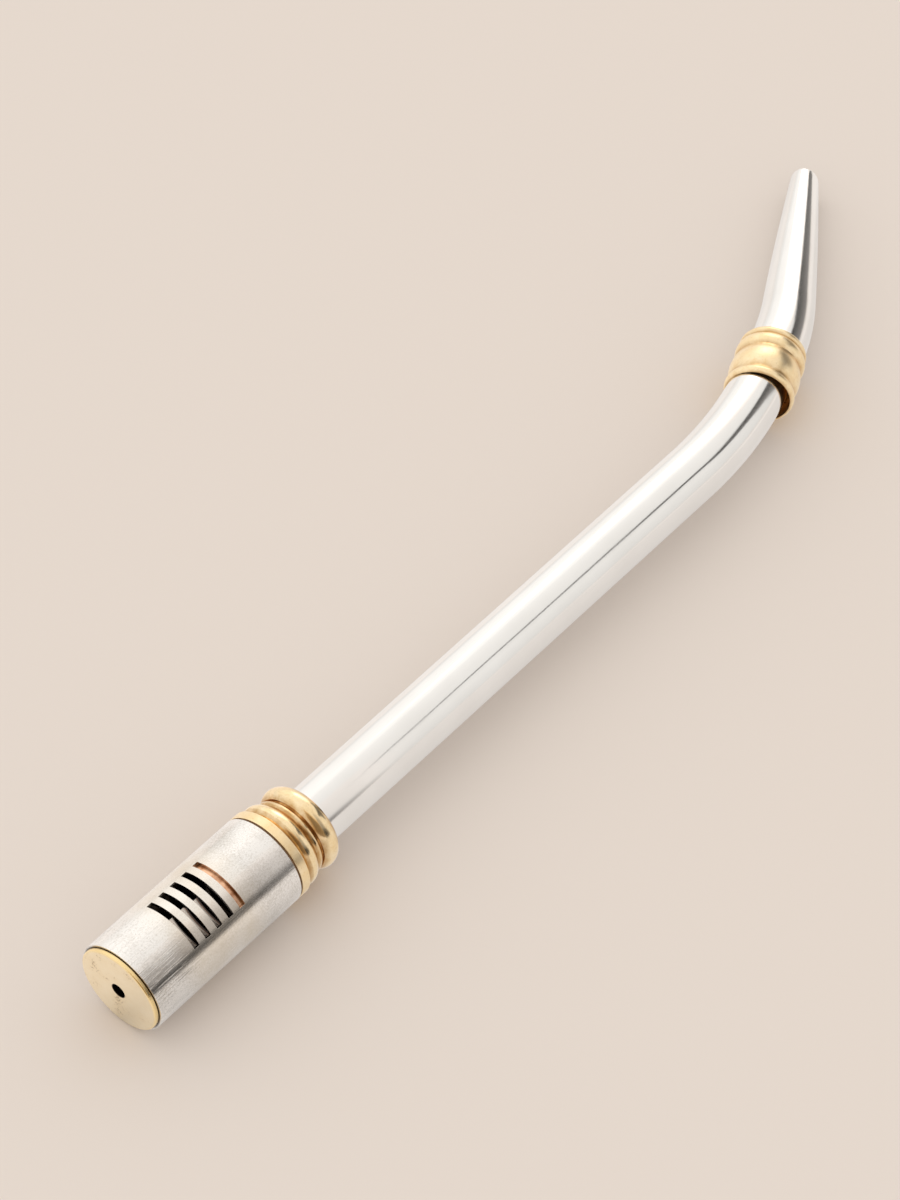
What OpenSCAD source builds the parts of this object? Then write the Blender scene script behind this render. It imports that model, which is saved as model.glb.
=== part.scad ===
// Bombilla lying on a table: a drinking straw for mate with a screw-off slotted filter.
// X runs along the filter and the straight stem, Y is the side that the mouthpiece bends to.

/* [Stem] */
// Length of the whole straw along its centre line
straw_l = 208.1; // [170:0.1:260]
// Outside diameter of the stem tube
stem_d = 9.5; // [8.4:0.1:10.2]
// Wall of the stem tube and of the mouthpiece
stem_wall = 0.6; // [0.4:0.05:0.9]
// Radius of the stem's bend, on its centre line
stem_bend_r = 70; // [40:1:120]
// Angle of the stem's bend
stem_bend = 20; // [12:1:35]
// Straight end of the stem, held tight in the joint ring
stem_end = 2.5; // [1:0.1:4]
// How much that end is turned down and reamed out, on the radius
end_relief = 0.02; // [0.01:0.01:0.05]

/* [Mouthpiece] */
// Straight root of the mouthpiece inside the joint ring
mouth_root = 4.5; // [4:0.1:10]
// Radius of the mouthpiece's bend, on its centre line
mouth_bend_r = 60; // [40:1:120]
// Angle of the mouthpiece's bend
mouth_bend = 12.5; // [4:0.5:25]
// Straight length of the mouthpiece after its bend
mouth_straight = 33.1; // [20:0.1:50]
// Thickness of the tip, in the plane of the bend
tip_thick = 4.8; // [3.6:0.1:7]
// Width of the tip, across the plane of the bend
tip_width = 6.2; // [4.6:0.1:8]
// How late the taper sets in: 1 is straight, more is later
taper_power = 1.5; // [1:0.1:2.5]

/* [Joint ring] */
// Length of the ring below the seam of stem and mouthpiece
ring_below = 5.5; // [4.5:0.1:9]
// Length of the ring above that seam
ring_above = 5.4; // [4:0.1:9]
// Gap between the stem and the ring's open lip
ring_gap = 0.6; // [0.3:0.05:1.2]
// Wall of the ring at its open lip
ring_lip_wall = 0.5; // [0.3:0.05:1]
// Width of the lip
ring_lip_w = 1.6; // [0.8:0.1:2]
// Width of the wide rounded band
ring_band_w = 4.6; // [3:0.1:5]
// Width of each of the ring's two grooves
ring_groove_w = 0.5; // [0.3:0.05:0.8]
// Depth of those grooves
ring_groove_depth = 0.25; // [0.1:0.05:0.35]
// Angle by which the ring leans from the seam's axis towards the mouthpiece
ring_tilt = 4; // [0:0.5:6]

/* [Collar] */
// Width of the flat band next to the filter
band_w = 1.6; // [1:0.1:4]
// Width of the first bead
bead_1_w = 2.3; // [1.5:0.1:4]
// Diameter over the first bead
bead_1_d = 14.4; // [13.4:0.1:17]
// Width of the second bead
bead_2_w = 1.4; // [1:0.1:3]
// Diameter over the second bead
bead_2_d = 12.8; // [12.6:0.1:17]
// Width of the third bead, next to the stem
bead_3_w = 3; // [2:0.1:5]
// Diameter over the third bead
bead_3_d = 14.2; // [13:0.1:17]
// Width of the grooves between the beads
bead_groove_w = 0.25; // [0.05:0.05:0.6]
// How far a bead rises above the groove next to it
bead_rise = 0.75; // [0.3:0.05:0.9]
// How deep the stem sits in the collar
stem_socket = 7; // [3:0.1:8]

/* [Thread] */
// Wall of the collar's spigot, from the stem's outside to the root of the thread
spigot_wall = 0.9; // [0.6:0.05:1.2]
// Length of the spigot below the collar
spigot_l = 8.2; // [7.6:0.1:9.5]
// Advance of the filter in one turn
thread_pitch = 1.5; // [1.3:0.05:1.7]
// Turns of each thread
thread_turns = 4; // [2:0.5:4]
// Height of each thread
thread_depth = 0.5; // [0.3:0.05:0.6]
// Width of a thread ridge at its top
thread_top_w = 0.3; // [0.2:0.05:0.4]
// Width of a thread ridge at its root
thread_root_w = 0.8; // [0.6:0.05:0.9]
// Radial room between the two threads
thread_gap = 0.2; // [0.15:0.05:0.3]

/* [Filter] */
// Outside diameter of the filter sleeve
sleeve_d = 15.1; // [14.8:0.1:18]
// Wall of the filter sleeve
sleeve_wall = 0.55; // [0.4:0.05:0.7]
// Length of the filter sleeve
sleeve_l = 29.4; // [27:0.1:50]
// Number of slots on each side
slot_count = 5; // [1:1:6]
// Width of a slot
slot_w = 1.05; // [0.5:0.05:1.5]
// Distance from one slot to the next
slot_pitch = 2.36; // [1.8:0.02:2.4]
// Distance from the sleeve's lower end to the middle of the first slot
slot_start = 9.6; // [7:0.01:10.4]
// Angle that a slot spans round the sleeve
slot_span = 77; // [30:1:120]
// Turn of the slots from the upper side of the bend's plane
slot_clock = 20.5; // [0:0.5:90]
// How much nearer the collar the slots on the far side lie
slot_stagger = 1.2; // [0:0.05:2]
// Length of the bush in the top of the sleeve
bush_l = 11.3; // [10:0.1:12]
// How deep the bush lies below the sleeve's top
bush_recess = 0.2; // [0:0.05:1]
// Thickness of the washer between collar and sleeve
washer_t = 0.35; // [0.2:0.05:1]
// How far the washer's edge lies inside the sleeve's outside
washer_recess = 0.2; // [0.1:0.05:0.4]

/* [Cap] */
// Thickness of the cap's rim
cap_rim = 0.8; // [0.8:0.05:3]
// How much smaller the cap's rim is than the sleeve, on the radius
cap_inset = 0.4; // [0:0.05:0.4]
// Rounding of the cap's outer edge
cap_round = 0.35; // [0.1:0.05:0.45]
// Bevel at the back of the rim, which makes the dark seam
cap_bevel = 0.1; // [0.05:0.05:0.3]
// Depth of the plug in the sleeve
plug_l = 5; // [2.5:0.1:6]
// Wall of the hollow plug
plug_wall = 1; // [0.5:0.1:2.5]
// Thickness of the cap's end, rim included
cap_floor = 2; // [1.2:0.1:3]
// Diameter of the hole in the cap
cap_hole_d = 2.4; // [1:0.1:5]

/* [Fits] */
// Room for solder between fixed pieces
solder_gap = 0.03; // [0.02:0.01:0.05]
// Running room of the cap's plug and of the washer, on the radius
slide_gap = 0.06; // [0.03:0.01:0.1]

/* [Hidden] */
$fn = 96;

steel = [0.86, 0.85, 0.83];
brass = [0.87, 0.73, 0.44];
copper = [0.76, 0.51, 0.38];
dark_seal = [0.16, 0.13, 0.11];

// Radii
stem_r = stem_d / 2;
bore_r = stem_r - stem_wall;
sleeve_r = sleeve_d / 2;
sleeve_bore_r = sleeve_r - sleeve_wall;
thread_core_r = stem_r + spigot_wall;
thread_top_r = thread_core_r + thread_depth;
nut_root_r = thread_top_r + thread_gap;
nut_top_r = thread_core_r + thread_gap;
plug_r = sleeve_bore_r - slide_gap;

// Places along the filter's axis, from the lower end of the sleeve
collar_start = sleeve_l + washer_t;
bead_1_start = band_w + bead_groove_w;
bead_2_start = bead_1_start + bead_1_w + bead_groove_w;
bead_3_start = bead_2_start + bead_2_w + bead_groove_w;
collar_l = bead_3_start + bead_3_w;
collar_end = collar_start + collar_l;
stem_start = collar_end - stem_socket + solder_gap;
stem_arc_l = stem_bend_r * stem_bend * PI / 180;
mouth_arc_l = mouth_bend_r * mouth_bend * PI / 180;
mouth_l = mouth_arc_l + mouth_straight;
bend_start = straw_l - cap_rim - mouth_l - mouth_root - stem_end - stem_arc_l;
bush_start = sleeve_l - bush_recess - bush_l;
end_overlap = 0.5;

// The thread starts below the washer, and the nut's ridge lies half a turn's advance further
thread_lead = 0.6;
thread_l = thread_turns * thread_pitch;
thread_start = sleeve_l - thread_lead - thread_l;
thread_bite = 0.25;
turn_steps = 32;
fade_steps = 10;

// The seam of stem and mouthpiece, and the end of the mouthpiece, in the plane of the bend
function turned(a, v) = [v.x * cos(a) - v.y * sin(a), v.x * sin(a) + v.y * cos(a)];
function arc_end(r, a) = [r * sin(a), r * (1 - cos(a))];
full_bend = stem_bend + mouth_bend;
seam = [bend_start, 0] + arc_end(stem_bend_r, stem_bend) + turned(stem_bend, [stem_end, 0]);
tip = seam + turned(stem_bend, [mouth_root, 0] + arc_end(mouth_bend_r, mouth_bend))
    + turned(full_bend, [mouth_straight, 0]);

// Lying on the table: the filter's side and the tip touch it
roll = asin((sleeve_r - tip_width / 2) / tip.y);
far_x = tip.x + tip_thick / 2 * sin(full_bend);
far_y = (tip.y + tip_thick / 2 * cos(full_bend)) * cos(roll);
middle = [(far_x - cap_rim) / 2, (far_y - sleeve_r) / 2];

module lying() {
    translate([-middle.x, -middle.y, sleeve_r]) rotate([-roll, 0, 0]) children();
}

// Puts a shape that stands on Z at a place along the filter's axis
module on_axis(x) {
    translate([x, 0, 0]) rotate([0, 90, 0]) children();
}

// Puts a shape that stands on Z at the seam, along the root of the mouthpiece or leaning from it
module on_seam(lean) {
    translate([seam.x, seam.y, 0]) rotate([0, 0, stem_bend + lean]) rotate([0, 90, 0]) children();
}

// Half outline of a bead: an arc from edge_r up to top_r and back, filled to the axis
module bead_outline(y, w, edge_r, top_r) {
    rise = top_r - edge_r;
    arc_r = (w * w / 4 + rise * rise) / (2 * rise);
    translate([0, y]) square([edge_r, w]);
    intersection() {
        translate([top_r - arc_r, y + w / 2]) circle(arc_r);
        translate([edge_r / 2, y]) square([top_r, w]);
    }
}

module rod(r, x, l) {
    on_axis(x) cylinder(r = r, h = l);
}

// A round bar along the stem's centre line. Its straight end has the radius end_r.
module stem_bar(r, end_r, over) {
    translate([bend_start, 0, 0]) {
        rotate([0, -90, 0]) cylinder(r = r, h = bend_start - stem_start + over);
        translate([0, stem_bend_r, 0]) {
            rotate([0, 0, -90]) rotate_extrude(angle = stem_bend) translate([stem_bend_r, 0]) circle(r);
            rotate([0, 0, stem_bend]) translate([-end_overlap, -stem_bend_r, 0]) rotate([0, 90, 0])
                cylinder(r = end_r, h = end_overlap + stem_end + over);
        }
    }
}

// One ridge of a thread round Z. It rises from root_r to top_r and fades out at both ends.
module thread_ridge(root_r, top_r) {
    steps = thread_turns * turn_steps;
    out = sign(top_r - root_r);
    foot_r = root_r - out * thread_bite;
    function fade(i) = min(1, i / fade_steps, (steps - i) / fade_steps);
    function station(i) = let(
        a = 360 * i / turn_steps,
        z = thread_pitch * i / turn_steps,
        r = foot_r + out * thread_bite / 2 + (top_r - foot_r - out * thread_bite / 2) * fade(i),
        foot_w = thread_root_w + (thread_root_w - thread_top_w) * thread_bite / thread_depth
    ) [for (p = [[foot_r, -foot_w], [foot_r, foot_w], [r, thread_top_w], [r, -thread_top_w]])
        [p.x * cos(a), p.x * sin(a), z + p.y / 2]];
    points = [for (i = [0:steps]) each station(i)];
    sides = [for (i = [0:steps - 1], k = [0:3]) let(a = 4 * i, n = (k + 1) % 4)
        each [[a + k, a + 4 + n, a + n], [a + k, a + 4 + k, a + 4 + n]]];
    last = 4 * steps;
    ends = [[0, 1, 2], [0, 2, 3], [last + 2, last + 1, last], [last + 3, last + 2, last]];
    faces = concat(sides, ends);
    polyhedron(points, out > 0 ? faces : [for (f = faces) [f[2], f[1], f[0]]]);
}

module stem_tube() {
    color(steel) lying() difference() {
        stem_bar(stem_r, stem_r - end_relief, 0);
        stem_bar(bore_r, bore_r + end_relief, 1);
    }
}

module collar() {
    color(brass) lying() on_axis(collar_start) {
        difference() {
            rotate_extrude() {
                square([sleeve_r, band_w]);
                square([bead_2_d / 2 - bead_rise, collar_l]);
                bead_outline(bead_1_start, bead_1_w, bead_1_d / 2 - bead_rise, bead_1_d / 2);
                bead_outline(bead_2_start, bead_2_w, bead_2_d / 2 - bead_rise / 2, bead_2_d / 2);
                bead_outline(bead_3_start, bead_3_w, bead_3_d / 2 - bead_rise, bead_3_d / 2);
                translate([0, -spigot_l]) square([thread_core_r, spigot_l]);
            }
            translate([0, 0, -spigot_l - 1]) cylinder(r = bore_r, h = spigot_l + collar_l + 2);
            translate([0, 0, collar_l - stem_socket]) cylinder(r = stem_r + solder_gap, h = stem_socket + 1);
        }
        translate([0, 0, thread_start - collar_start]) thread_ridge(thread_core_r, thread_top_r);
    }
}

module collar_washer() {
    color(dark_seal) lying() difference() {
        rod(sleeve_r - washer_recess, sleeve_l, washer_t);
        rod(thread_top_r + slide_gap, sleeve_l - 1, washer_t + 2);
    }
}

// One row of slots: side 0 lies on top of the filter and side 1 under it
module slot_row(side) {
    start = 180 * side + 180 + slot_clock - slot_span / 2;
    for (i = [0:slot_count - 1])
        on_axis(slot_start + i * slot_pitch + side * slot_stagger) rotate([0, 0, start])
            rotate_extrude(angle = slot_span)
                translate([sleeve_bore_r - 1, -slot_w / 2]) square([sleeve_wall + 2, slot_w]);
}

module filter_sleeve() {
    color(steel) lying() difference() {
        rod(sleeve_r, 0, sleeve_l);
        rod(sleeve_bore_r, -1, sleeve_l + 2);
        slot_row(0);
        slot_row(1);
    }
}

module sleeve_bush() {
    color(copper) lying() {
        difference() {
            rod(sleeve_bore_r - solder_gap, bush_start, bush_l);
            rod(nut_root_r, bush_start - 1, bush_l + 2);
            slot_row(1);
        }
        on_axis(thread_start) rotate([0, 0, 180]) thread_ridge(nut_root_r, nut_top_r);
    }
}

module end_cap() {
    rim_r = sleeve_r - cap_inset;
    color(brass) lying() on_axis(0) difference() {
        rotate_extrude() {
            translate([0, -cap_rim]) square([rim_r - cap_round, cap_rim]);
            translate([0, cap_round - cap_rim]) square([rim_r, cap_rim - cap_round - cap_bevel]);
            translate([rim_r - cap_round, cap_round - cap_rim]) circle(cap_round);
            polygon([[0, -cap_bevel], [rim_r, -cap_bevel], [rim_r - cap_bevel, 0], [0, 0]]);
            square([plug_r, plug_l]);
        }
        translate([0, 0, cap_floor - cap_rim]) cylinder(r = plug_r - plug_wall, h = plug_l);
        translate([0, 0, -cap_rim - 1]) cylinder(d = cap_hole_d, h = cap_floor + 2);
    }
}

module joint_ring() {
    ring_r = stem_r + ring_gap + ring_lip_wall;
    groove_r = ring_r - ring_groove_depth;
    top_r = ring_r - ring_groove_depth / 4;
    band_start = ring_lip_w + ring_groove_w - ring_below;
    top_start = band_start + ring_band_w + ring_groove_w;
    color(brass) lying() difference() {
        on_seam(ring_tilt) rotate_extrude() {
            bead_outline(-ring_below, ring_lip_w, groove_r, ring_r);
            translate([0, -ring_below]) square([groove_r, ring_below + top_start]);
            bead_outline(band_start, ring_band_w, groove_r, ring_r);
            bead_outline(top_start, ring_above - top_start, groove_r - ring_groove_depth / 2, top_r);
        }
        on_seam(ring_tilt) translate([0, 0, -ring_below - 1])
            cylinder(r = stem_r + ring_gap, h = ring_below - stem_end + 1);
        on_seam(0) translate([0, 0, -stem_end - 1])
            cylinder(r = stem_r + solder_gap, h = stem_end + ring_above + 3);
    }
}

// The mouthpiece above its root is a lofted tube. A place on it is a length along its centre line,
// and it starts inside the wall of the root, at a place below zero.
mouth_sides = 40;
mouth_rings = 16;
lip_rings = 6;
loft_start = -1;
loft_inset = 0.03;
function mouth_angle(s) = max(0, min(s, mouth_arc_l)) / mouth_bend_r * 180 / PI;
function mouth_place(s) = arc_end(mouth_bend_r, mouth_angle(s))
    + turned(mouth_angle(s), [min(0, s) + max(0, s - mouth_arc_l), 0]);
function taper(s, from, to) = from + (to - from) * pow(max(0, s) / mouth_l, taper_power);
function mouth_ring(s, root_r, inset) = let(
    a = mouth_angle(s),
    c = mouth_place(s),
    h = taper(s, root_r, tip_thick / 2 - inset),
    w = taper(s, root_r, tip_width / 2 - inset)
) [for (k = [0:mouth_sides - 1]) let(
    t = 360 * k / mouth_sides,
    p = c + turned(a, [0, h * cos(t)])
) [p.x, p.y, w * sin(t)]];

module mouth_loft() {
    lip = stem_wall / 2;
    last = mouth_l - lip;
    outer_r = stem_r - loft_inset;
    inner_r = bore_r + loft_inset;
    places = [loft_start, for (i = [0:mouth_rings]) last * i / mouth_rings];
    outer = [for (s = places) mouth_ring(s, outer_r, 0)];
    round_lip = [for (i = [1:lip_rings - 1]) let(t = 180 * i / lip_rings)
        mouth_ring(last + lip * sin(t), outer_r, lip * (1 - cos(t)))];
    inner = [for (i = [mouth_rings + 1:-1:0]) mouth_ring(places[i], inner_r, stem_wall)];
    rings = concat(outer, round_lip, inner);
    count = len(rings);
    points = [for (r = rings) each r];
    faces = [for (i = [0:count - 1], k = [0:mouth_sides - 1]) let(
        a = i * mouth_sides,
        b = (i + 1) % count * mouth_sides,
        n = (k + 1) % mouth_sides
    ) each [[a + k, b + n, a + n], [a + k, b + k, b + n]]];
    polyhedron(points, faces);
}

module mouthpiece() {
    color(steel) lying() {
        on_seam(0) difference() {
            translate([0, 0, solder_gap]) cylinder(r = stem_r, h = mouth_root - solder_gap);
            translate([0, 0, -1]) cylinder(r = bore_r, h = mouth_root + 2);
        }
        translate([seam.x, seam.y, 0]) rotate([0, 0, stem_bend]) translate([mouth_root, 0, 0]) mouth_loft();
    }
}

mouthpiece();
joint_ring();
stem_tube();
collar();
collar_washer();
filter_sleeve();
sleeve_bush();
end_cap();
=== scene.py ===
import math

import bmesh
import bpy
from mathutils import Matrix, Vector, noise


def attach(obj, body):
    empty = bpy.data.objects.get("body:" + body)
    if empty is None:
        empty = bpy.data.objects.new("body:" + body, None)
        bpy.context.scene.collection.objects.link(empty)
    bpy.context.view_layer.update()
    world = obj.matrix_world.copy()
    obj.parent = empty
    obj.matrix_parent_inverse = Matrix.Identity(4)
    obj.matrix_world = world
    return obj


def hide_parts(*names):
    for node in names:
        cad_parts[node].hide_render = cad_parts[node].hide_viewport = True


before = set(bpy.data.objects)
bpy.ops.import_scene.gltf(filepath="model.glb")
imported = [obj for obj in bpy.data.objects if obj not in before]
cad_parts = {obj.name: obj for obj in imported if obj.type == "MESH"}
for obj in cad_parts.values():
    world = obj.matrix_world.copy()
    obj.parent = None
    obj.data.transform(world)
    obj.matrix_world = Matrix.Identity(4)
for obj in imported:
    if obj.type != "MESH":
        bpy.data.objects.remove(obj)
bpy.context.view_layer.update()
scene = bpy.context.scene
scene.view_settings.view_transform = "Standard"

# Every piece is drawn in millimetres round its own axis, then laid on the table in metres
mm = 0.001
lying = {"middle": (100.1586, 12.1502), "roll": 8.4796, "axisHeight": 7.55}
seam = {"at": (155.9661, 5.0766), "heading": 20.0}  # where stem and mouthpiece meet
tablePlace = (
    Matrix.Scale(mm, 4)
    @ Matrix.Translation((-lying["middle"][0], -lying["middle"][1], lying["axisHeight"]))
    @ Matrix.Rotation(-math.radians(lying["roll"]), 4, "X")
)
seamPlace = (
    tablePlace
    @ Matrix.Translation((*seam["at"], 0))
    @ Matrix.Rotation(math.radians(seam["heading"]), 4, "Z")
)
standToLie = Matrix.Rotation(math.radians(90), 4, "Y")  # a shape that stands on Z then lies along X


def linear(hexColour):
    channels = [int(hexColour[i:i + 2], 16) / 255 for i in (1, 3, 5)]
    return [c / 12.92 if c <= 0.04045 else ((c + 0.055) / 1.055) ** 2.4 for c in channels] + [1]


def addNode(tree, kind, inputs=None, **settings):
    node = tree.nodes.new(kind)
    for key, value in settings.items():
        setattr(node, key, value)
    for key, value in (inputs or {}).items():
        if isinstance(value, bpy.types.NodeSocket):
            tree.links.new(value, node.inputs[key])
        else:
            node.inputs[key].default_value = value
    return node


def newMaterial(name):
    material = bpy.data.materials.new(name)
    material.use_nodes = True
    tree = material.node_tree
    tree.nodes.clear()
    return material, tree


# Polished stainless tube: drawn lengthwise, then buffed, so it mirrors the room in long clean
# stripes with a trace of lengthwise polishing lines and finger-soft dull patches
def polishedSteel():
    look = {
        "bright": "#F3F1EE", "dull": "#E8E5E1", "smooth": 0.1, "rough": 0.18,
        "lineWidth": 0.12, "lineLength": 18.0,  # mm, drawn wider than real buffing lines so that they show
        "lineDepth": 0.004, "patch": 9.0, "wave": (22.0, 5.0), "waveDepth": 0.06,  # mm
    }
    material, tree = newMaterial("polishedStainlessTube")
    along = addNode(tree, "ShaderNodeAttribute", attribute_name="pieceCoord").outputs["Vector"]
    stretch = addNode(tree, "ShaderNodeMapping", {
        "Vector": along, "Scale": (1 / look["lineLength"], 1 / look["lineWidth"], 1 / look["lineWidth"])})
    lines = addNode(tree, "ShaderNodeTexNoise", {
        "Vector": stretch.outputs[0], "Scale": 1.0, "Detail": 3.0, "Roughness": 0.6})
    patches = addNode(tree, "ShaderNodeTexNoise", {
        "Vector": along, "Scale": 1 / look["patch"], "Detail": 4.0, "Roughness": 0.55})
    tint = addNode(tree, "ShaderNodeMix", {
        0: patches.outputs[0], 6: linear(look["bright"]), 7: linear(look["dull"])}, data_type="RGBA")
    gloss = addNode(tree, "ShaderNodeMath", {
        0: lines.outputs[0], 1: patches.outputs[0]}, operation="MULTIPLY")
    roughness = addNode(tree, "ShaderNodeMapRange", {
        "Value": gloss.outputs[0], "From Min": 0.1, "From Max": 0.45,
        "To Min": look["smooth"], "To Max": look["rough"]})
    slow = addNode(tree, "ShaderNodeMapping", {
        "Vector": along, "Scale": (1 / look["wave"][0], 1 / look["wave"][1], 1 / look["wave"][1])})
    waves = addNode(tree, "ShaderNodeTexNoise", {"Vector": slow.outputs[0], "Scale": 1.0, "Detail": 1.0})
    waveRelief = addNode(tree, "ShaderNodeBump", {
        "Height": waves.outputs[0], "Strength": 0.5, "Distance": look["waveDepth"] * mm})
    relief = addNode(tree, "ShaderNodeBump", {
        "Height": lines.outputs[0], "Strength": 0.25, "Distance": look["lineDepth"] * mm,
        "Normal": waveRelief.outputs[0]})
    shader = addNode(tree, "ShaderNodeBsdfPrincipled", {
        "Base Color": tint.outputs[2], "Metallic": 1.0,
        "Roughness": roughness.outputs[0], "Normal": relief.outputs[0]})
    addNode(tree, "ShaderNodeOutputMaterial", {"Surface": shader.outputs[0]})
    return material


# Satin stainless tube: emery-brushed along its length over a fine pressed grain, so highlights
# spread wide, with brushing lines that show where the light grazes. Tea has tinged it round the slots.
# Its inside, its end faces and the walls of its slots are painted dark brown: partly tea stain, partly
# painted shade.
def satinSteel():
    look = {
        "bright": "#F0ECE7", "dull": "#D6D0C8", "smooth": 0.15, "rough": 0.28,
        "brushWidth": 0.09, "brushLength": 5.0, "brushDepth": 0.01, "brushTurn": 14.0,  # mm and degrees
        "grain": 0.26, "grainDepth": 0.02, "patch": 5.0,  # mm
        "scratch": (8.0, 0.16), "scratchDepth": 0.03, "scratchEnd": 10.0,  # mm, the end is along the axis
        # The stain colour darkens the inside, the end faces and the slot walls: partly tea stain, partly
        # painted shade
        "stain": "#3A2A1C", "shadeStartRadius": 7.48, "sleeveShadeFullRadius": 7.2,  # mm from the axis
        "openShadeAndStain": 0.95, "bushShadeAndStain": 0.4,  # share of stain in the open sleeve, and where the bush closes it
        "bushFrom": 17.7, "bushFade": 0.4,  # mm along the axis
        "tea": "#E8DCCA", "teaFrom": 14.3, "teaReach": (5.0, 9.0),  # mm along the axis
    }
    material, tree = newMaterial("brushedStainlessSleeve")
    along = addNode(tree, "ShaderNodeAttribute", attribute_name="pieceCoord").outputs["Vector"]
    stretch = addNode(tree, "ShaderNodeMapping", {
        "Vector": along, "Rotation": (0, 0, math.radians(look["brushTurn"])),
        "Scale": (1 / look["brushLength"], 1 / look["brushWidth"], 1 / look["brushWidth"])})
    brush = addNode(tree, "ShaderNodeTexNoise", {
        "Vector": stretch.outputs[0], "Scale": 1.0, "Detail": 4.0, "Roughness": 0.65})
    grain = addNode(tree, "ShaderNodeTexNoise", {
        "Vector": along, "Scale": 1 / look["grain"], "Detail": 2.0})
    patches = addNode(tree, "ShaderNodeTexNoise", {
        "Vector": along, "Scale": 1 / look["patch"], "Detail": 4.0})
    mottle = addNode(tree, "ShaderNodeMath", {0: patches.outputs[0], 1: grain.outputs[0]}, operation="ADD")
    cloud = addNode(tree, "ShaderNodeMapRange", {
        "Value": mottle.outputs[0], "From Min": 0.85, "From Max": 1.3})
    tint = addNode(tree, "ShaderNodeMix", {
        0: cloud.outputs[0], 6: linear(look["bright"]), 7: linear(look["dull"])}, data_type="RGBA")
    place = addNode(tree, "ShaderNodeSeparateXYZ", {0: along})
    fromSlots = addNode(tree, "ShaderNodeMath", {
        0: place.outputs["X"], 1: look["teaFrom"]}, operation="SUBTRACT")
    apart = addNode(tree, "ShaderNodeMath", {0: fromSlots.outputs[0]}, operation="ABSOLUTE")
    teaCover = addNode(tree, "ShaderNodeMapRange", {
        "Value": apart.outputs[0], "From Min": look["teaReach"][0], "From Max": look["teaReach"][1],
        "To Min": patches.outputs[0], "To Max": 0.0})
    tinged = addNode(tree, "ShaderNodeMix", {
        0: teaCover.outputs[0], 6: tint.outputs[2], 7: linear(look["tea"])}, data_type="RGBA")
    # Painted shade, partly tea stain: inside the sleeve and on its slot walls the colour turns dark brown,
    # less where the bush lies under them
    flat = addNode(tree, "ShaderNodeVectorMath", {0: along, 1: (0, 1, 1)}, operation="MULTIPLY")
    radius = addNode(tree, "ShaderNodeVectorMath", {0: flat.outputs[0]}, operation="LENGTH")
    shadeAndStainShare = addNode(tree, "ShaderNodeMapRange", {
        "Value": place.outputs["X"],
        "From Min": look["bushFrom"], "From Max": look["bushFrom"] + look["bushFade"],
        "To Min": look["openShadeAndStain"], "To Max": look["bushShadeAndStain"]})
    inside = addNode(tree, "ShaderNodeMapRange", {
        "Value": radius.outputs["Value"], "From Min": look["shadeStartRadius"], "From Max": look["sleeveShadeFullRadius"],
        "To Min": 0.0, "To Max": shadeAndStainShare.outputs[0]})
    stained = addNode(tree, "ShaderNodeMix", {
        0: inside.outputs[0], 6: tinged.outputs[2], 7: linear(look["stain"])}, data_type="RGBA")
    roughness = addNode(tree, "ShaderNodeMapRange", {
        "Value": brush.outputs[0], "From Min": 0.3, "From Max": 0.7,
        "To Min": look["smooth"], "To Max": look["rough"]})
    grainRelief = addNode(tree, "ShaderNodeBump", {
        "Height": grain.outputs[0], "Strength": 0.25, "Distance": look["grainDepth"] * mm})
    relief = addNode(tree, "ShaderNodeBump", {
        "Height": brush.outputs[0], "Strength": 0.3, "Distance": look["brushDepth"] * mm,
        "Normal": grainRelief.outputs[0]})
    slant = addNode(tree, "ShaderNodeMapping", {
        "Vector": along, "Rotation": (0, 0, math.radians(-look["brushTurn"] / 2)),
        "Scale": (1 / look["scratch"][0], 1 / look["scratch"][1], 1 / look["scratch"][1])})
    streaks = addNode(tree, "ShaderNodeTexNoise", {"Vector": slant.outputs[0], "Scale": 1.0, "Detail": 1.0})
    nearCap = addNode(tree, "ShaderNodeMapRange", {
        "Value": place.outputs["X"], "From Min": look["scratchEnd"], "From Max": look["scratchEnd"] / 2})
    scratches = addNode(tree, "ShaderNodeMapRange", {
        "Value": streaks.outputs[0], "From Min": 0.56, "From Max": 0.68,
        "To Min": 0.0, "To Max": nearCap.outputs[0]})
    scored = addNode(tree, "ShaderNodeBump", {
        "Height": scratches.outputs[0], "Strength": 0.7, "Distance": look["scratchDepth"] * mm,
        "Normal": relief.outputs[0]})
    shader = addNode(tree, "ShaderNodeBsdfPrincipled", {
        "Base Color": stained.outputs[2], "Metallic": 1.0,
        "Roughness": roughness.outputs[0], "Normal": scored.outputs[0]})
    addNode(tree, "ShaderNodeOutputMaterial", {"Surface": shader.outputs[0]})
    return material
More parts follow.
